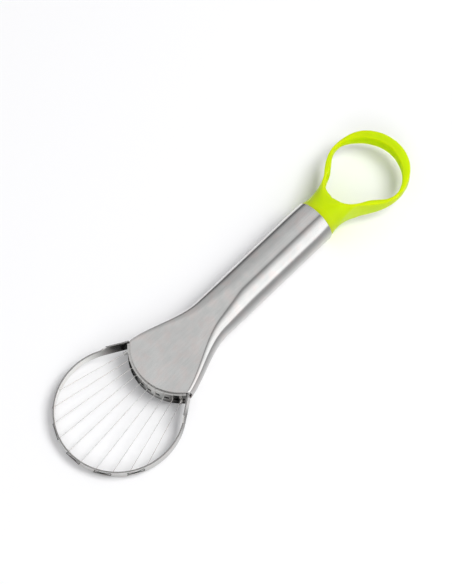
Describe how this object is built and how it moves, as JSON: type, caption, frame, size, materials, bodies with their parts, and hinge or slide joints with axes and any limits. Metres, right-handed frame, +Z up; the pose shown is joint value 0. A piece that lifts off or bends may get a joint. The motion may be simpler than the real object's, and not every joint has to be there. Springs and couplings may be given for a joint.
{
  "type": "avocado slicer",
  "caption": "Hand tool: pressed steel tube handle, an oval cutting band strung with wire at one end and a moulded pitting loop at the other",
  "frame": {"origin": "Middle of the tool's outline on the surface that it lies on", "axes": "+X runs along the tube from the cutting band to the pitting loop, +Y across the tool, +Z up with the tool lying on its back"},
  "size_m": [0.2364, 0.066, 0.023],
  "materials": {
    "handle_steel": "satin brushed stainless steel",
    "comb_steel": "plain stamped stainless strip",
    "band_steel": "bright rolled stainless strip",
    "wire_steel": "drawn stainless wire",
    "loop_plastic": "satin lime green moulding"
  },
  "bodies": {
    "root": {"handle_shell": "handle_steel", "wire_comb": "comb_steel", "cutting_band": "band_steel", "pitter_loop": "loop_plastic", "cutting_wire_01": "wire_steel", "cutting_wire_02": "wire_steel", "cutting_wire_03": "wire_steel", "cutting_wire_04": "wire_steel", "cutting_wire_05": "wire_steel", "cutting_wire_06": "wire_steel", "cutting_wire_07": "wire_steel", "cutting_wire_08": "wire_steel", "cutting_wire_09": "wire_steel", "cutting_wire_10": "wire_steel", "wire_bends_band": "wire_steel", "wire_bends_comb": "wire_steel", "wire_crimps": "wire_steel"}
  },
  "joints": []
}
